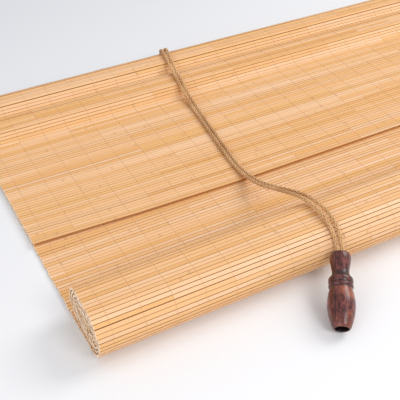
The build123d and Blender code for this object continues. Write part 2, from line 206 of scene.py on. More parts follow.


# %% [markdown]
# ## The pull cords' route
#
# Two thin braided cords come up out of the cord lock behind the headrail, fold over its edge, lie
# across the valance, bridge to the top of the roll and hang down its front into the wooden pull.  A
# cord could be simulated, but its route is known, so each one is a smooth NURBS curve through the
# air with listed control points.  The last three points follow the axis of the pull.

# %% Cord routes
pull_top = Vector((-139.2, -160.5, 21.85)) * mm
pull_axis = Vector((-25.65, -39.65, -16.15)).normalized()
pull_side = pull_axis.cross(Vector((0, 0, 1))).normalized()
knot_depth = 16.8 * mm
above_pull, inside_pull = 4.5 * mm, 7.0 * mm    # points of the route on the pull's axis
cord_lift = 0.25 * mm                           # keeps the cord clear of the bore's wall
cord_offset = {"left": 1.5 * mm, "right": -1.5 * mm}
cord_points_mm = {
    "left": [
        (-115.0, 142.8, 1.6), (-115.0, 142.8, 7.2), (-115.1, 143.1, 11.6), (-115.3, 141.6, 15.6),
        (-115.9, 136.4, 16.8), (-117.2, 128.6, 16.6), (-119.3, 119.5, 15.8), (-121.8, 107.0, 13.7),
        (-123.8, 93.0, 13.0), (-125.5, 81.0, 10.0), (-127.0, 66.0, 6.4), (-128.7, 48.0, 5.2),
        (-131.3, 29.0, 5.4), (-133.8, 9.0, 5.1), (-136.4, -11.0, 5.4), (-138.3, -28.0, 5.0),
        (-138.9, -43.0, 6.3), (-140.3, -58.0, 10.6), (-141.6, -73.0, 16.9), (-141.7, -88.0, 24.4),
        (-140.9, -101.5, 30.8), (-138.9, -113.0, 34.6), (-137.0, -124.0, 35.4),
        (-136.8, -136.5, 35.4), (-137.9, -148.6, 32.6),
    ],
    "right": [
        (-111.0, 142.8, 1.6), (-111.0, 142.8, 7.2), (-110.9, 143.1, 11.8), (-111.1, 141.4, 15.8),
        (-111.9, 136.0, 17.0), (-113.5, 128.2, 16.9), (-116.0, 119.0, 16.0), (-118.8, 106.5, 14.0),
        (-120.8, 92.5, 13.1), (-122.5, 80.5, 10.1), (-124.0, 65.5, 6.3), (-125.7, 47.5, 5.4),
        (-128.3, 28.5, 5.1), (-130.8, 8.5, 5.4), (-133.4, -11.5, 5.0), (-135.3, -28.5, 5.2),
        (-135.9, -43.5, 6.2), (-137.3, -58.5, 10.8), (-138.5, -73.5, 17.2), (-138.3, -88.5, 24.6),
        (-137.2, -102.0, 31.0), (-134.7, -113.5, 34.7), (-132.6, -124.5, 35.7),
        (-132.4, -137.0, 35.7), (-134.0, -149.4, 32.7),
    ],
}


def beside_pull_axis(distance, across, up=0.0):
    return pull_top + pull_axis * distance + pull_side * across + Vector((0, 0, up))


def cord_line(side):
    """The cord's smooth centreline, as points read from a NURBS curve with no bevel."""
    route = [Vector(point) * mm for point in cord_points_mm[side]]
    across = cord_offset[side]
    route += [beside_pull_axis(-above_pull, across),
              beside_pull_axis(inside_pull, across, cord_lift),
              beside_pull_axis(knot_depth, across)]
    curve = bpy.data.curves.new("cord_route_" + side, "CURVE")
    curve.dimensions = "3D"
    spline = curve.splines.new("NURBS")
    spline.points.add(len(route) - 1)
    for control, point in zip(spline.points, route):
        control.co = (*point, 1.0)
    spline.order_u = 3
    spline.use_endpoint_u = True
    spline.resolution_u = 16
    guide = bpy.data.objects.new("cord_route_" + side, curve)
    scene.collection.objects.link(guide)
    bpy.context.view_layer.update()
    mesh = bpy.data.meshes.new_from_object(guide)
    points = [v.co.copy() for v in mesh.vertices]
    bpy.data.objects.remove(guide)
    bpy.data.meshes.remove(mesh)
    return points


def line_length(points):
    return sum((b - a).length for a, b in zip(points, points[1:]))


cord_lines = {side: cord_line(side) for side in cord_points_mm}
for side, points in cord_lines.items():
    print(side, "cord is", round(line_length(points), 4), "m along", len(points), "points")

# %% [markdown]
# ## Braiding the cords
#
# A blind cord is a round braid: half of its yarns wind to the right, half to the left, and each
# passes over one and under the next.  A plain tube with a bump pattern would do from afar, but the
# zigzag edge of a real braid shows against the light wood.  The tree below copies the centreline
# once for each yarn, winds the copy round it by turning the curve's own normal, and moves it in and
# out as it crosses the others.

# %% Braid tree
def braid_tree():
    tree, start, end = new_tree("braid", {
        "Steps": "Int", "Yarns": "Int", "Lay": "Float", "Inner": "Float", "Weave": "Float",
        "Yarn Radius": "Float", "Turn": "Float", "Material": "Material"})
    given = start.outputs
    curve = add(tree, "GeometryNodeMeshToCurve", {"Mesh": given["Geometry"]})
    fine = add(tree, "GeometryNodeResampleCurve", {"Curve": curve, "Count": given["Steps"]})
    copies = add(tree, "GeometryNodeDuplicateElements",
                 {"Geometry": fine, "Amount": given["Yarns"]}, domain="SPLINE")
    number = copies.outputs["Duplicate Index"]
    held = store(tree, copies.outputs[0], "yarn", number, domain="CURVE")
    yarn = stored(tree, "yarn")
    odd = calc(tree, "MODULO", yarn, 2.0)
    hand = calc(tree, "SUBTRACT", calc(tree, "MULTIPLY", odd, 2.0), 1.0)
    place = calc(tree, "DIVIDE", calc(tree, "FLOOR", calc(tree, "DIVIDE", yarn, 2.0)),
                 calc(tree, "DIVIDE", given["Yarns"], 2.0))
    along = add(tree, "GeometryNodeSplineParameter").outputs["Length"]
    turns = calc(tree, "DIVIDE", along, given["Lay"])
    wound = calc(tree, "MULTIPLY", hand, turns)
    angle = calc(tree, "MULTIPLY", calc(tree, "ADD", wound, place), 2 * pi)
    angle = calc(tree, "ADD", angle, given["Turn"])
    crossing = calc(tree, "MULTIPLY", calc(tree, "MULTIPLY", turns, given["Yarns"]), pi)
    first = calc(tree, "MULTIPLY", place, calc(tree, "MULTIPLY", given["Yarns"], pi))
    wave = calc(tree, "COSINE", calc(tree, "ADD", crossing, first))
    over = calc(tree, "MULTIPLY", calc(tree, "MULTIPLY", wave, hand), given["Weave"])
    radius = calc(tree, "ADD", given["Inner"], over)
    tangent = add(tree, "GeometryNodeInputTangent")
    normal = add(tree, "GeometryNodeInputNormal")
    sideways = vector_calc(tree, "CROSS_PRODUCT", tangent, normal)
    out_a, out_b = (
        vector_calc(tree, "SCALE", direction,
                    calc(tree, "MULTIPLY", calc(tree, function, angle), radius))
        for direction, function in ((normal, "COSINE"), (sideways, "SINE")))
    moved = add(tree, "GeometryNodeSetPosition",
                {"Geometry": held, "Offset": vector_calc(tree, "ADD", out_a, out_b)})
    section = add(tree, "GeometryNodeCurvePrimitiveCircle",
                  {"Resolution": 5, "Radius": given["Yarn Radius"]})
    skin = add(tree, "GeometryNodeCurveToMesh",
               {"Curve": moved, "Profile Curve": section.outputs[0], "Fill Caps": True})
    real = add(tree, "GeometryNodeRealizeInstances", {"Geometry": skin})
    close_tree(tree, end, real, given["Material"])
    return tree


braid = braid_tree()

# %% [markdown]
# ## The line that the woven mat follows
#
# From the side, the mat is one long line: up behind the headrail, flat to the front, and then a
# flattened spiral of half turns, each a little smaller than the last.  Such a line could be drawn
# point by point, but it follows a rule, so half circles and straight stretches make it.  The valance
# climbs from the mat over its lath, sags, and climbs again over the headrail.

# %% Lines seen from the side
rail_low, rail_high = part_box("headrail")
mat_low, mat_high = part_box("bamboo_mat")
valance_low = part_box("valance")[0]
lath_low, lath_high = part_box("valance_lath")
sheet = rail_low.z                     # thickness of the weave
half_sheet = sheet / 2
stick_pitch = 2.8 * mm
blind_width = mat_high.x - mat_low.x
stick_length = blind_width - 0.2 * mm
thread_spacing, thread_lines = 20.0 * mm, 30
first_thread = -thread_spacing * (thread_lines - 1) / 2


def arc(centre, radius, start, turn):
    """Points of an arc in the (y, z) plane.  start and turn are in degrees from +y towards +z."""
    count = max(4, round(abs(turn) / 7.5))
    angles = [radians(start + turn * i / count) for i in range(count + 1)]
    return [(0.0, centre[0] + radius * cos(a), centre[1] + radius * sin(a)) for a in angles]


def rounded(corners, radii):
    """Points along straight runs in the (y, z) plane whose inner corners are arcs."""
    corners = [Vector(corner) for corner in corners]
    points = [(0.0, *corners[0])]
    for before, corner, after, radius in zip(corners, corners[1:], corners[2:], radii):
        into, out = (corner - before).normalized(), (after - corner).normalized()
        turn = -into.angle_signed(out)
        side = 1 if turn > 0 else -1
        first = corner - into * radius * tan(abs(turn) / 2)
        centre = first + Vector((-into.y, into.x)) * radius * side
        start = (first - centre).angle_signed(Vector((1.0, 0.0)))
        points += arc(centre, radius, degrees(start), degrees(turn))
    return points + [(0.0, *corners[-1])]


rail_edge = 1.5 * mm
turn_up = 8.2 * mm
roll_flat = 16.0 * mm
roll_gap = 0.5 * mm
half_turns = 11


def mat_line():
    behind_rail = rail_high.y + half_sheet
    points = [(0.0, behind_rail, sheet + turn_up)]
    points += arc((rail_high.y - rail_edge, sheet + rail_edge), rail_edge + half_sheet, 0, -90)
    radius = mat_high.z / 2 - half_sheet
    front = mat_low.y + mat_high.z / 2
    y, height, rising = front, half_sheet, 1
    for _ in range(half_turns):
        points += arc((y, height + rising * radius), radius, -90 * rising, -180)
        height += 2 * rising * radius
        y = front + roll_flat if y == front else front
        radius -= (sheet + roll_gap) / 2
        rising = -rising
    return points + [(0.0, y, height)]


valance_climb = 11.3 * mm              # from the foot of the climb to the lath
valance_sag = 5.1 * mm                 # height of the low corner between lath and headrail
sag_distance = 7.5 * mm                # from the lath to that corner
lath_margin, rail_margin = 1.8 * mm, 0.8 * mm
valance_tail = 9.4 * mm                # what hangs down behind the headrail
valance_bends = [radius * mm for radius in (6.0, 5.0, 5.0, 3.5, 3.0, 3.0)]


def valance_line():
    low = sheet + half_sheet
    over_lath = lath_high.z + half_sheet
    over_rail = rail_high.z + half_sheet
    behind = rail_high.y + 2 * sheet - half_sheet
    return rounded(
        [(valance_low.y, low), (lath_low.y - valance_climb, low),
         (lath_low.y - lath_margin, over_lath), (lath_high.y + lath_margin, over_lath),
         (lath_high.y + sag_distance, valance_sag), (rail_low.y - rail_margin, over_rail),
         (behind, over_rail), (behind, over_rail - valance_tail)], valance_bends)


side_lines = {"bamboo_mat": mat_line(), "valance": valance_line()}
side_lines = {name: [Vector(p) for p in points] for name, points in side_lines.items()}
flat_lengths = {name: line_length(points) for name, points in side_lines.items()}
stick_counts = {name: round(length / stick_pitch) + 1 for name, length in flat_lengths.items()}
print("flat lengths", flat_lengths, "sticks", stick_counts)

# %% [markdown]
# ## Laying the sticks
#
# The weave is made of split bamboo, 2.8 mm wide and half as thick, with barely rounded edges.  Each
# stick could be an array copy, but real sticks differ: they wander and lean a little, some are a bit
# narrower, they are not all pushed quite as far through the loom, and each has its own tone.  The
# tree sweeps one stick, sets it across the line at every step, and gives each a random number that
# the finish reads later.  Where the line climbs, the sticks fan open, so there they are made
# narrower.  The roll is wound a little askew, so from shortly before it the sticks drift to the
# right.  At last a slow noise bends each stick along its length.

# %% Stick tree
climb_gain = 5.0                       # the sticks are fully open at a slope of one in five
drift_shares = (0.27, 0.55)            # where along the line the drift starts and is complete
waves_per_metre = 9.0                  # of the noise that bends each stick
stick_apart = 800.0                    # keeps the noise of one stick clear of the next
lift_share = 0.6                       # how much less a stick wanders up and down than sideways


def stick_tree():
    tree, start, end = new_tree("lay sticks", {
        "Rows": "Int", "Length": "Float", "Width": "Float", "Thickness": "Float", "Edge": "Float",
        "Wander": "Float", "Slip": "Float", "Tilt": "Float", "Narrowing": "Float",
        "Opening": "Float", "Drift": "Float", "Seed": "Int", "Material": "Material"})
    given = start.outputs
    line = add(tree, "GeometryNodeMeshToCurve", {"Mesh": given["Geometry"]})
    rows = add(tree, "GeometryNodeResampleCurve", {"Curve": line, "Count": given["Rows"]})
    tangent = add(tree, "GeometryNodeInputTangent")
    tone = add(tree, "FunctionNodeRandomValue", {"Seed": given["Seed"]}, data_type="FLOAT")
    rows = store(tree, rows, "row_run", tangent, data_type="FLOAT_VECTOR")
    rows = store(tree, rows, "stick_tone", tone)
    rows = store(tree, rows, "row_share",
                 add(tree, "GeometryNodeSplineParameter").outputs["Factor"])

    half = calc(tree, "MULTIPLY", given["Length"], 0.5)
    left = combine(tree, calc(tree, "MULTIPLY", half, -1.0))
    spine = add(tree, "GeometryNodeCurvePrimitiveLine",
                {"Start": left, "End": combine(tree, half)})
    spine = add(tree, "GeometryNodeResampleCurve", {"Curve": spine, "Count": 9})
    section = add(tree, "GeometryNodeCurvePrimitiveQuadrilateral",
                  {"Width": given["Width"], "Height": given["Thickness"]})
    section = add(tree, "GeometryNodeFilletCurve",
                  {"Curve": section, "Radius": given["Edge"], "Count": 1}, mode="POLY")
    stick = add(tree, "GeometryNodeCurveToMesh",
                {"Curve": spine, "Profile Curve": section, "Fill Caps": True})
    position = add(tree, "GeometryNodeInputPosition")
    stick = store(tree, stick, "stick_place", position, data_type="FLOAT_VECTOR")
    stick = add(tree, "GeometryNodeSetShadeSmooth", {"Geometry": stick, "Shade Smooth": False})

    across = add(tree, "FunctionNodeAxesToRotation",
                 {"Primary Axis": tangent, "Secondary Axis": (1.0, 0.0, 0.0)},
                 primary_axis="Y", secondary_axis="X")
    laid = add(tree, "GeometryNodeInstanceOnPoints",
               {"Points": rows, "Instance": stick, "Rotation": across})

    def scatter(low, high, order):
        """A random number for each stick.  order gives every use a seed of its own."""
        seed = calc(tree, "ADD", given["Seed"], float(order))
        return add(tree, "FunctionNodeRandomValue", {"Min": low, "Max": high, "Seed": seed},
                   data_type="FLOAT")

    tilt = scatter(calc(tree, "MULTIPLY", given["Tilt"], -1.0), given["Tilt"], 1)
    tilted = add(tree, "GeometryNodeRotateInstances",
                 {"Instances": laid, "Rotation": combine(tree, tilt)})
    slope = calc(tree, "ABSOLUTE", part(tree, tangent, "Z"))
    climb = calc(tree, "MINIMUM", calc(tree, "MULTIPLY", slope, climb_gain), 1.0)
    narrow = scatter(calc(tree, "SUBTRACT", 1.0, given["Narrowing"]), 1.0, 2)
    narrow = calc(tree, "SUBTRACT", narrow, calc(tree, "MULTIPLY", climb, given["Opening"]))
    sized = add(tree, "GeometryNodeScaleInstances",
                {"Instances": tilted, "Scale": combine(tree, 1.0, narrow, 1.0)})
    push = scatter(calc(tree, "MULTIPLY", given["Slip"], -1.0), given["Slip"], 3)
    askew = remap(tree, stored(tree, "row_share"), *drift_shares, 0.0, given["Drift"])
    slipped = add(tree, "GeometryNodeTranslateInstances",
                  {"Instances": sized, "Local Space": False,
                   "Translation": combine(tree, calc(tree, "ADD", push, askew))})
    real = add(tree, "GeometryNodeRealizeInstances", {"Geometry": slipped})

    kept_run = stored(tree, "row_run", "FLOAT_VECTOR")
    where = combine(tree, calc(tree, "MULTIPLY", part(tree, position, "X"), waves_per_metre),
                    calc(tree, "MULTIPLY", stored(tree, "stick_tone"), stick_apart))
    bend = noise(tree, where, 1.0, 1.0, "2D").outputs["Color"]
    sway, lift = (calc(tree, "MULTIPLY", calc(tree, "SUBTRACT", part(tree, bend, axis), 0.5),
                       given["Wander"]) for axis in "XY")
    up = vector_calc(tree, "CROSS_PRODUCT", kept_run, (1.0, 0.0, 0.0))
    offset = vector_calc(tree, "ADD", vector_calc(tree, "SCALE", kept_run, sway),
                         vector_calc(tree, "SCALE", up, calc(tree, "MULTIPLY", lift, lift_share)))
    bent = add(tree, "GeometryNodeSetPosition", {"Geometry": real, "Offset": offset})
    close_tree(tree, end, bent, given["Material"])
    return tree


sticks = stick_tree()

# %% [markdown]
# ## Weaving the threads
#
# The loom twines two cotton threads round every stick, one over while the other goes under, and
# crosses them in the gap.  They lie in lines 20 mm apart.  A row of dots would look right from the
# camera, but the threads are what hold a blind together, so both are swept along the same line as
# the sticks, a fraction further out over each stick and back to the middle in each gap.

# %% Thread tree
aside_share = 0.3                      # of a thread's width, by which the two lie side by side


def thread_tree():
    tree, start, end = new_tree("weave threads", {
        "Rows": "Int", "Lines": "Int", "Spacing": "Float", "First": "Float", "Crown": "Float",
        "Side": "Float", "Width": "Float", "Height": "Float", "Material": "Material"})
    given = start.outputs
    line = add(tree, "GeometryNodeMeshToCurve", {"Mesh": given["Geometry"]})
    gaps = calc(tree, "SUBTRACT", given["Rows"], 1.0)
    quarters = calc(tree, "ADD", calc(tree, "MULTIPLY", gaps, 4.0), 1.0)
    steps = add(tree, "GeometryNodeResampleCurve", {"Curve": line, "Count": quarters})
    index = add(tree, "GeometryNodeInputIndex")
    quarter = calc(tree, "MODULO", index, 4.0)
    row = calc(tree, "FLOOR", calc(tree, "DIVIDE", calc(tree, "ADD", index, 2.0), 4.0))
    in_gap = calc(tree, "COMPARE", quarter, 2.0, 0.1)
    odd = calc(tree, "MODULO", row, 2.0)
    turn = calc(tree, "SUBTRACT", calc(tree, "MULTIPLY", odd, 2.0), 1.0)
    height = calc(tree, "MULTIPLY", calc(tree, "MULTIPLY", turn, given["Side"]),
                  calc(tree, "MULTIPLY", given["Crown"], calc(tree, "SUBTRACT", 1.0, in_gap)))
    tangent = add(tree, "GeometryNodeInputTangent")
    up = vector_calc(tree, "CROSS_PRODUCT", tangent, (1.0, 0.0, 0.0))
    apart = calc(tree, "MULTIPLY", given["Side"], aside_share)
    aside = combine(tree, calc(tree, "MULTIPLY", given["Width"], apart))
    offset = vector_calc(tree, "ADD", vector_calc(tree, "SCALE", up, height), aside)
    wave = add(tree, "GeometryNodeSetPosition", {"Geometry": steps, "Offset": offset})
    # The point over a stick's middle lies level between two others, so it is left out.
    on_stick = calc(tree, "COMPARE", quarter, 0.0, 0.1)
    wave = add(tree, "GeometryNodeDeleteGeometry", {"Geometry": wave, "Selection": on_stick},
               domain="POINT")
    section = add(tree, "GeometryNodeCurvePrimitiveCircle", {"Resolution": 3, "Radius": 0.5})
    stretch = combine(tree, given["Height"], given["Width"], 1.0)
    section = add(tree, "GeometryNodeTransform", {"Geometry": section.outputs[0], "Scale": stretch})
    yarn = add(tree, "GeometryNodeCurveToMesh",
               {"Curve": wave, "Profile Curve": section, "Fill Caps": True})
    places = add(tree, "GeometryNodeMeshLine",
                 {"Count": given["Lines"], "Start Location": combine(tree, given["First"]),
                  "Offset": combine(tree, given["Spacing"])})
    laid = add(tree, "GeometryNodeInstanceOnPoints", {"Points": places, "Instance": yarn})
    real = add(tree, "GeometryNodeRealizeInstances", {"Geometry": laid})
    close_tree(tree, end, real, given["Material"])
    return tree


threads = thread_tree()

# %% [markdown]
# ## Starting a finish
#
# Every finish is a Principled shader with a few pattern nodes in front of it.  Values that are the
# same all over a surface are set on the shader itself, and only what changes from place to place is
# wired.  The first helper starts such a material and hands back its tree and its shader, and the
# others add what most finishes need: coordinates, colour ramps, mixed colours and bumps.

# %% Material helpers
def new_material(name, **constants):
    material = bpy.data.materials.new(name)
    material.use_nodes = True
    tree = material.node_tree
    shader = tree.nodes["Principled BSDF"]
    for label, value in constants.items():
        shader.inputs[label.replace("_", " ")].default_value = value
    return material, tree, shader


def attribute(tree, name):
    return add(tree, "ShaderNodeAttribute", attribute_name=name)


def object_place(tree):
    return add(tree, "ShaderNodeTexCoord").outputs["Object"]


def ramp(tree, factor, stops):
    """A colour ramp with stops of (place, red, green, blue)."""
    made = add(tree, "ShaderNodeValToRGB", {"Fac": factor})
    elements = made.color_ramp.elements
    while len(elements) < len(stops):
        elements.new(0.5)
    for element, (place, *colour) in zip(elements, stops):
        element.position = place
        element.color = (*colour, 1.0)
    return made


def mix(tree, factor, first, second):
    made = add(tree, "ShaderNodeMix", {0: factor, 1: first, 2: second}, data_type="RGBA")
    return socket(made.outputs, 0)


def bump(tree, shader, height, strength, distance):
    made = add(tree, "ShaderNodeBump",
               {"Strength": strength, "Distance": distance, "Height": height})
    tree.links.new(made.outputs[0], shader.inputs["Normal"])


# %% [markdown]
# ## Split bamboo
#
# Bamboo has no rings: it is bundles of straight fibres, so a split stick is striped along its
# length, and neighbouring sticks come from different stalks and differ from straw to orange.  A
# picture of bamboo would repeat and smear on the small sides.  Instead the finish reads two
# attributes that the stick tree left on the mesh: the stick's own random number picks its tone, and
# its place along and across the stick draws fibres, a change of tone where a shorter length was let
# in at a thread, the darker band of a joint of the stalk, dark brown sides that are painted shade
# for the gaps between sticks and under the valance's free edge, and pale sawn ends, partly their
# own paler end grain and partly painted light that lifts the ends lying in shade.

# %% Bamboo finish
def bamboo_finish():
    material, tree, shader = new_material("split_bamboo", Roughness=0.42, Specular_IOR_Level=0.35)
    tone = attribute(tree, "stick_tone").outputs["Fac"]
    place = attribute(tree, "stick_place").outputs["Vector"]
    along, across = part(tree, place, "X"), part(tree, place, "Y")

    from_first = calc(tree, "SUBTRACT", along, first_thread)
    thread = calc(tree, "FLOOR", calc(tree, "DIVIDE", from_first, thread_spacing))
    let_in = calc(tree, "ADD", calc(tree, "MULTIPLY", thread, 0.11),
                  calc(tree, "MULTIPLY", tone, 37.0))
    piece = combine(tree, calc(tree, "FLOOR", let_in), calc(tree, "MULTIPLY", tone, 91.0))
    other = add(tree, "ShaderNodeTexWhiteNoise", {"Vector": piece}, noise_dimensions="2D")
    blended = calc(tree, "ADD", calc(tree, "MULTIPLY", tone, 0.55),
                   calc(tree, "MULTIPLY", other.outputs["Value"], 0.45))
    base = ramp(tree, blended, [
        (0.10, 0.920, 0.600, 0.355), (0.24, 0.860, 0.480, 0.190), (0.38, 0.920, 0.560, 0.310),
        (0.50, 0.820, 0.425, 0.140), (0.62, 0.930, 0.610, 0.380), (0.76, 0.870, 0.490, 0.180),
        (0.90, 0.770, 0.380, 0.120)])

    slow = combine(tree, calc(tree, "MULTIPLY", along, 14.0), calc(tree, "MULTIPLY", tone, 300.0))
    cloud = noise(tree, slow, 1.0, 3.0, "2D")
    shade = remap(tree, cloud.outputs["Fac"], 0.3, 0.7, 0.0, 0.35)
    colour = mix(tree, shade, base, (0.83, 0.455, 0.190, 1.0))

    fine = combine(tree, calc(tree, "MULTIPLY", along, 40.0),
                   calc(tree, "MULTIPLY", across, 4200.0), calc(tree, "MULTIPLY", tone, 77.0))
    fibres = noise(tree, fine, 1.0, 4.0, Roughness=0.65)
    streak = remap(tree, fibres.outputs["Fac"], 0.52, 0.78, 0.0, 0.45)
    colour = mix(tree, streak, colour, (0.62, 0.31, 0.115, 1.0))

    stalk = calc(tree, "FRACT", calc(tree, "ADD", calc(tree, "MULTIPLY", along, 3.4),
                                     calc(tree, "MULTIPLY", tone, 53.0)))
    from_joint = calc(tree, "ABSOLUTE", calc(tree, "SUBTRACT", stalk, 0.5))
    joint = remap(tree, from_joint, 0.0, 0.006, 0.4, 0.0)
    colour = mix(tree, joint, colour, (0.52, 0.27, 0.10, 1.0))

    # Painted shade: dark brown sides stand in for shade in the gaps and under the valance's edge.
    painted_side_shade = remap(tree, calc(tree, "ABSOLUTE", across), 1.15 * mm, 1.38 * mm, 0.0, 0.85)
    colour = mix(tree, painted_side_shade, colour, (0.36, 0.145, 0.045, 1.0))
    # Pale ends: partly paler end grain, partly painted light that lifts the ends lying in shade.
    pale_end_and_painted_light = remap(tree, calc(tree, "ABSOLUTE", along),
                     stick_length / 2 - 0.2 * mm, stick_length / 2, 0.0, 0.9)
    colour = mix(tree, pale_end_and_painted_light, colour, (0.95, 0.76, 0.55, 1.0))
    tree.links.new(colour, shader.inputs["Base Color"])
    rough = remap(tree, fibres.outputs["Fac"], 0.3, 0.7, 0.36, 0.56)
    tree.links.new(rough.outputs[0], shader.inputs["Roughness"])
    bump(tree, shader, fibres.outputs["Fac"], 0.35, 0.12 * mm)
    return material


bamboo = bamboo_finish()

# %% [markdown]
# ## Cotton thread and braided cord
#
# Both are spun cotton.  The weaving thread is fine and undyed, a little greyer than the bamboo.  The
# cord is dyed a tan brown, and its yarns are fuzzy: dull, with a faint sheen at the edges.  In both,
# noise mixes a lighter and a darker tone.  Noise in three dimensions is enough for both, because
# spun fibre has no direction that could be seen at this size.

# %% Thread and cord finishes
def spun_finish(name, light, dark, grain, height, sheen):
    material, tree, shader = new_material(name, Roughness=0.85, Specular_IOR_Level=0.2)
    shader.inputs["Sheen Weight"].default_value = sheen
    shader.inputs["Sheen Roughness"].default_value = 0.5
    place = object_place(tree)
    fuzz = noise(tree, place, grain, 4.0)
    slow = noise(tree, place, 60.0, 2.0)
    both = calc(tree, "ADD", calc(tree, "MULTIPLY", fuzz.outputs["Fac"], 0.6),
                calc(tree, "MULTIPLY", slow.outputs["Fac"], 0.4))
    colour = ramp(tree, both, [(0.36, *dark), (0.62, *light)])
    tree.links.new(colour.outputs[0], shader.inputs["Base Color"])
    bump(tree, shader, fuzz.outputs["Fac"], 0.5, height)
    return material


cotton = spun_finish("weaving_cotton", (0.80, 0.52, 0.29), (0.66, 0.40, 0.20), 2500.0,
                     0.05 * mm, 0.1)
cord_cotton = spun_finish("dyed_cord_cotton", (0.84, 0.54, 0.27), (0.54, 0.27, 0.10), 3200.0,
                          0.08 * mm, 0.15)

# %% [markdown]
# ## Weaving the mat and the valance
#
# Now the trees are run on the two lines.  The mat and the valance are cloth of a kind, and their
# threads are grown along the same lines and hang from the same body.  A valance that only lies on
# the mat never ends quite straight, so its free edge is eased by a few millimetres along its
# length, less and less towards the lath that holds it, and its very last sticks curl up a little.

# %% Mat and valance
stick_thickness = 1.45 * mm
thread_height = 0.14 * mm
roll_drift = 1.0 * mm
stick_sizes = {"Length": stick_length, "Width": 2.79 * mm, "Thickness": stick_thickness,
               "Edge": 0.14 * mm, "Wander": 0.30 * mm, "Slip": 0.3 * mm, "Tilt": radians(3.5),
               "Narrowing": 0.06, "Opening": 0.19, "Material": bamboo}
thread_sizes = {"Lines": thread_lines, "Spacing": thread_spacing, "First": first_thread,
                "Crown": (stick_thickness + thread_height) / 2,
                "Width": 0.32 * mm, "Height": thread_height, "Material": cotton}

eased_length = 12.0 * mm               # the shift starts this far in front of the lath
left_part, rise_part = 0.28, 0.25      # shares of the width
corner_back, forward, rise_back = 3.3 * mm, 5.5 * mm, 1.2 * mm
curl_height, curl_start = 0.6 * mm, 0.93


def ease_edge(piece):
    """Shifts the valance's loose end: back at its left corner, and forward from there on."""
    count = len(piece.data.vertices)
    places = np.empty(count * 3)
    piece.data.vertices.foreach_get("co", places)
    places = places.reshape(-1, 3)
    held, loose = lath_low.y - eased_length, valance_low.y
    share = np.clip((held - places[:, 1]) / (held - loose), 0.0, 1.0)
    along = (places[:, 0] - valance_low.x) / blind_width
    shift = corner_back - forward * np.sin(np.clip(along / left_part, 0, 1) * pi / 2)
    shift += rise_back * np.clip((along - left_part) / rise_part, 0, 1)
    places[:, 1] += share**1.5 * shift
    places[:, 2] += curl_height * np.clip((share - curl_start) / (1 - curl_start), 0, 1) ** 2
    piece.data.vertices.foreach_set("co", places.ravel())
    piece.data.update()


for seed, name in ((3, "bamboo_mat"), (8, "valance")):
    rows = {"Rows": stick_counts[name]}
    line = line_mesh(name + "_line", side_lines[name])
    drift = roll_drift if name == "bamboo_mat" else 0.0
    body = grow(name + "_sticks", line, sticks,
                {**stick_sizes, **rows, "Seed": seed, "Drift": drift})
    yarns = [grow(f"{name}_threads_{label}", line_mesh("thread_line", side_lines[name]), threads,
                  {**thread_sizes, **rows, "Side": side})
             for label, side in (("over", 1.0), ("under", -1.0))]
    for piece in (body, *yarns):
        if name == "valance":
            ease_edge(piece)
        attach(piece, "blind")
    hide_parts(name)

# %% [markdown]
# ## The turned pull
#
# The pull is a small skittle turned on a lathe: a flared cup where the cords go in, a waist, two
# rings with a groove between them, and a belly that narrows to its open lower end.  A lathe sweeps
# an outline round an axis, and so does this cell: it turns the outline's points round the pull's
# axis and joins neighbouring rings with faces.  The bore and the socket for the knot are part of it.

# %% Turned pull
pull_outline = [
    (0.0, 4.0), (0.0, 5.4), (0.5, 6.05), (1.5, 6.45), (3.0, 6.65), (4.8, 6.6), (7.0, 6.25),
    (9.3, 5.8), (11.6, 5.45), (13.4, 5.3), (15.1, 5.7), (16.4, 6.5), (17.2, 7.2), (17.9, 7.6),
    (18.8, 7.7), (19.9, 7.68), (20.5, 7.5), (20.9, 7.1), (21.3, 7.1), (21.7, 7.5), (22.3, 7.68),
    (23.1, 7.62), (23.5, 7.3), (23.8, 6.9), (24.2, 6.85), (24.9, 7.1), (27.0, 7.7), (29.8, 8.2),
    (33.0, 8.55), (36.3, 8.58), (39.5, 8.2), (42.8, 7.6), (46.0, 6.7), (48.7, 5.8), (49.5, 5.4),
    (50.0, 5.0), (50.2, 4.6), (50.1, 4.3), (49.4, 4.2), (16.8, 4.2), (16.8, 3.3), (1.6, 3.3),
    (0.6, 3.6),
]
pull_segments = 72


def turned(name, outline, segments):
    """A closed shell swept round the pull's axis from (distance, radius) points in millimetres."""
    across = pull_axis.cross(pull_side)
    points = []
    for distance, radius in outline:
        for i in range(segments):
            angle = 2 * pi * i / segments
            out = pull_side * cos(angle) + across * sin(angle)
            points.append(pull_top + (pull_axis * distance + out * radius) * mm)
    faces = []
    for ring in range(len(outline)):
        here, there = ring * segments, (ring + 1) % len(outline) * segments
        for i in range(segments):
            j = (i + 1) % segments
            faces.append((here + i, here + j, there + j, there + i))
    mesh = bpy.data.meshes.new(name)
    mesh.from_pydata([tuple(p) for p in points], [], faces)
    piece = bpy.data.objects.new(name, mesh)
    scene.collection.objects.link(piece)
    mesh.shade_smooth()
    return piece


pull = turned("turned_pull", pull_outline, pull_segments)
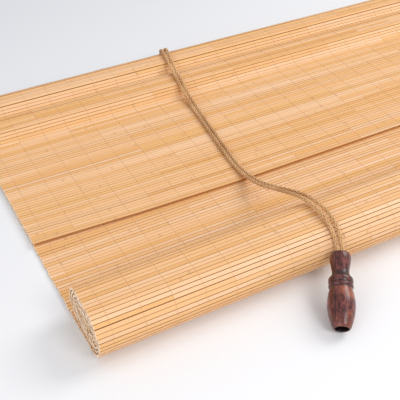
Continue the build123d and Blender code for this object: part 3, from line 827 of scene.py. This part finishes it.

# %% [markdown]
# ## Stained and lacquered wood
#
# The pull is a pale hardwood under a dark red-brown stain and a glossy lacquer.  The waist and the
# grooves are darkened as painted shade, and the belly has lighter orange patches, partly the stain
# rubbed thin and partly painted light.  One brown would look like plastic.  Here stretched noise
# draws the grain along the turning axis, a slower noise lightens the belly in patches, the inside of
# the bore is painted near black as painted shade, and a coat gives the gloss over it.

# %% Pull finish
def pull_finish():
    material, tree, shader = new_material("lacquered_pull", Roughness=0.40, Coat_Weight=0.5,
                                          Coat_Roughness=0.20, Specular_IOR_Level=0.3)
    place = object_place(tree)
    turn = (-pull_axis).to_track_quat("Z", "Y").to_euler()
    grain_frame = add(tree, "ShaderNodeMapping", {"Vector": place, "Location": pull_top,
                                                  "Rotation": turn}, vector_type="TEXTURE")
    stretched = add(tree, "ShaderNodeMapping",
                    {"Vector": grain_frame, "Scale": (620.0, 620.0, 230.0)})
    grain = noise(tree, stretched, 1.0, 5.0, Roughness=0.7)
    patches = noise(tree, grain_frame, 85.0, 2.0, Distortion=0.4)
    depth = calc(tree, "MULTIPLY", part(tree, grain_frame, "Z"), -1.0)    # from the pull's top
    # Orange belly patches: partly stain rubbed thin, partly painted light on the lit belly.
    on_belly = remap(tree, depth, 23.0 * mm, 29.0 * mm, 0.0, 1.0)
    off_tip = remap(tree, depth, 39.0 * mm, 47.0 * mm, 1.0, 0.25)
    belly_patches = remap(tree, patches.outputs["Fac"], 0.44, 0.68, 0.0, 1.0)
    belly_wear_and_light = calc(tree, "MULTIPLY", calc(tree, "MULTIPLY", belly_patches, on_belly), off_tip)
    stain = ramp(tree, grain.outputs["Fac"], [
        (0.36, 0.026, 0.005, 0.005), (0.50, 0.095, 0.020, 0.017), (0.64, 0.230, 0.062, 0.048)])
    colour = mix(tree, calc(tree, "MULTIPLY", belly_wear_and_light, 0.8), stain, (0.52, 0.140, 0.055, 1.0))
    # Painted shade: the waist and the two grooves are darkened towards near black.
    for place_mm, inner_mm, outer_mm, strength, shade in (
            (15.6, 1.2, 3.0, 0.85, (0.020, 0.006, 0.006, 1.0)),      # the waist
            (21.1, 0.15, 0.6, 0.8, (0.018, 0.005, 0.005, 1.0)),      # the two grooves
            (24.0, 0.15, 0.6, 0.8, (0.018, 0.005, 0.005, 1.0))):
        away = calc(tree, "ABSOLUTE", calc(tree, "SUBTRACT", depth, place_mm * mm))
        dark = remap(tree, away, inner_mm * mm, outer_mm * mm, strength, 0.0)
        colour = mix(tree, dark, colour, shade)
    # Painted shade: the inside of the bore is painted near black.
    flat_place = combine(tree, part(tree, grain_frame, "X"), part(tree, grain_frame, "Y"))
    from_axis = vector_calc(tree, "LENGTH", flat_place).outputs["Value"]
    bore_shade = remap(tree, from_axis, 4.25 * mm, 4.6 * mm, 1.0, 0.0)
    colour = mix(tree, bore_shade, colour, (0.010, 0.004, 0.004, 1.0))
    tree.links.new(colour, shader.inputs["Base Color"])
    bump(tree, shader, grain.outputs["Fac"], 0.25, 0.15 * mm)
    return material


pull.data.materials.append(pull_finish())
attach(pull, "blind")
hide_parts("cord_pull")

# %% [markdown]
# ## The cords themselves
#
# Each cord now gets its eight yarns, four to each hand.  The pull is a fitting that both cords
# share, and the knot inside it is left as engineered.

# %% Braided cords
braid_sizes = {"Steps": 1100, "Yarns": 8, "Lay": 20.0 * mm, "Inner": 0.88 * mm,
               "Weave": 0.14 * mm, "Yarn Radius": 0.36 * mm, "Material": cord_cotton}
for side, points in cord_lines.items():
    cord = grow(f"pull_cord_{side}_braid", line_mesh("cord_line", points), braid,
                {**braid_sizes, "Turn": 0.0 if side == "left" else 0.6})
    cord.data.shade_smooth()
    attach(cord, "blind")
    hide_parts(f"pull_cord_{side}")

# %% [markdown]
# ## Wooden laths
#
# The headrail and the two laths are plain softwood, sawn and barely sanded.  They are mostly wrapped
# in the weave and show only at their ends.  They keep their engineered shape, and the finish draws
# grain along X with a noise that is stretched thirty-five times.

# %% Wood finish for the laths
def lath_finish():
    material, tree, shader = new_material("sawn_softwood", Roughness=0.7, Specular_IOR_Level=0.3)
    place = object_place(tree)
    stretched = add(tree, "ShaderNodeMapping", {"Vector": place, "Scale": (12.0, 420.0, 420.0)})
    grain = noise(tree, stretched, 1.0, 6.0, Roughness=0.6)
    colour = ramp(tree, grain.outputs["Fac"], [
        (0.35, 0.42, 0.24, 0.11), (0.5, 0.68, 0.45, 0.25), (0.68, 0.78, 0.57, 0.36)])
    tree.links.new(colour.outputs[0], shader.inputs["Base Color"])
    bump(tree, shader, grain.outputs["Fac"], 0.4, 0.2 * mm)
    return material


# %% [markdown]
# ## Metal and nylon
#
# Hangers, pulley brackets, the lock's case, pins and screws are zinc-plated steel, the staples are
# bare steel wire, the toothed pawl is brass and the grooved wheels are moulded nylon.  Plating has a
# faint crystal mottle and handling has scuffed it, so roughness changes from place to place more
# than colour does.  One function serves all of the metals, with their own colours and mottle.

# %% Metal and nylon finishes
def metal_finish(name, bright, dull, mottle, smooth, rough):
    material, tree, shader = new_material(name, Metallic=1.0)
    place = object_place(tree)
    spots = add(tree, "ShaderNodeTexVoronoi", {"Vector": place, "Scale": mottle})
    scuffs = noise(tree, place, mottle * 0.8, 6.0)
    both = calc(tree, "ADD", calc(tree, "MULTIPLY", spots.outputs["Distance"], 0.35),
                calc(tree, "MULTIPLY", scuffs.outputs["Fac"], 0.75))
    colour = ramp(tree, both, [(0.3, *dull), (0.65, *bright)])
    tree.links.new(colour.outputs[0], shader.inputs["Base Color"])
    roughness = remap(tree, both, 0.3, 0.7, rough, smooth)
    tree.links.new(roughness.outputs[0], shader.inputs["Roughness"])
    bump(tree, shader, scuffs.outputs["Fac"], 0.15, 0.05 * mm)
    return material


def nylon_finish():
    material, tree, shader = new_material("moulded_nylon", Roughness=0.45, Specular_IOR_Level=0.45)
    place = object_place(tree)
    cloud = noise(tree, place, 350.0, 4.0)
    colour = ramp(tree, cloud.outputs["Fac"],
                  [(0.35, 0.66, 0.63, 0.56), (0.65, 0.82, 0.80, 0.74)])
    tree.links.new(colour.outputs[0], shader.inputs["Base Color"])
    bump(tree, shader, cloud.outputs["Fac"], 0.2, 0.05 * mm)
    return material


steel = metal_finish("zinc_plated_steel", (0.80, 0.80, 0.78), (0.55, 0.55, 0.56),
                     700.0, 0.24, 0.45)
wire = metal_finish("steel_wire", (0.70, 0.69, 0.67), (0.45, 0.44, 0.43), 1200.0, 0.30, 0.50)
brass = metal_finish("cast_brass", (0.83, 0.62, 0.27), (0.60, 0.41, 0.16), 900.0, 0.25, 0.45)

# %% [markdown]
# ## Finishing the engineered pieces
#
# What is still shown of the engineering model takes its finish from the slot that its record names.
# Going by slot, and not by a list of names, means that a new screw or bracket is never left bare.

# %% Finish by slot
finish_of_slot = {"lath_wood": lath_finish(), "plated_steel": steel, "staple_steel": wire,
                  "pawl_brass": brass, "wheel_nylon": nylon_finish(), "cord": cord_cotton,
                  "bamboo": bamboo, "pull_wood": pull.data.materials[0]}
slot_of_node = {entry["node"]: entry["material_slot"] for entry in frame["record"]["subparts"]}
for name, node in frame["nodes"].items():
    node.data.materials.clear()
    node.data.materials.append(finish_of_slot[slot_of_node[name]])
print("finished", len(slot_of_node), "engineered nodes")

# %% [markdown]
# ## Floor and light
#
# The blind is shown on a plain pale surface in a bright, even studio.  One lamp alone would give the
# mat hard shadows, and only a white sky would give it none.  A large soft box from the right gives
# the soft shadows of the cords and the pull, a weaker one from the front lifts the roll, a third
# from the left lights the sawn ends, and a pale sky fills the rest.  The floor's colour is painted
# a little darker from the front to the back and from the right to the left: painted light falloff.

# %% Floor and lights
def floor_finish():
    material, tree, shader = new_material("pale_floor", Roughness=0.6, Specular_IOR_Level=0.2)
    place = object_place(tree)
    cloud = noise(tree, place, 2.0, 2.0)
    # Painted light: darker towards the back and the left, a painted falloff of the lamps.
    painted_light_falloff = calc(tree, "SUBTRACT", calc(tree, "MULTIPLY", part(tree, place, "X"), 0.5),
                  part(tree, place, "Y"))
    tone = calc(tree, "ADD", painted_light_falloff, calc(tree, "MULTIPLY", cloud.outputs["Fac"], 0.06))
    tone = calc(tree, "ADD", tone, 0.5)
    colour = ramp(tree, tone, [
        (0.10, 0.745, 0.748, 0.765), (0.50, 0.860, 0.856, 0.862), (0.85, 0.905, 0.900, 0.902)])
    tree.links.new(colour.outputs[0], shader.inputs["Base Color"])
    return material


floor_half = 3.0
floor_mesh = bpy.data.meshes.new("floor")
square = ((-1, -1), (1, -1), (1, 1), (-1, 1))
floor_mesh.from_pydata([(x * floor_half, y * floor_half, 0) for x, y in square], [],
                       [(0, 1, 2, 3)])
floor_mesh.materials.append(floor_finish())
floor = bpy.data.objects.new("floor", floor_mesh)
scene.collection.objects.link(floor)
floor.location.z = -0.05 * mm


def soft_box(name, place, target, size, power, colour):
    lamp = bpy.data.objects.new(name, bpy.data.lights.new(name, "AREA"))
    lamp.data.shape, lamp.data.size = "SQUARE", size
    lamp.data.energy, lamp.data.color = power, colour
    lamp.location = place
    lamp.rotation_euler = (Vector(target) - Vector(place)).to_track_quat("-Z", "Y").to_euler()
    scene.collection.objects.link(lamp)


soft_box("key", (1.5, 0.0, 1.45), (-0.1, -0.02, 0.0), 1.1, 20.5, (1.0, 0.985, 0.96))
soft_box("front", (0.15, -1.35, 1.2), (-0.1, -0.1, 0.0), 0.7, 9.5, (0.98, 0.99, 1.0))
soft_box("left", (-1.4, -0.7, 0.6), (-0.25, -0.1, 0.0), 0.8, 5.0, (0.98, 0.99, 1.0))

world = bpy.data.worlds.new("studio")
world.use_nodes = True
sky = world.node_tree.nodes["Background"].inputs
sky["Color"].default_value = (0.93, 0.95, 1.0, 1.0)
sky["Strength"].default_value = 0.61
scene.world = world
scene.view_settings.view_transform = "Standard"
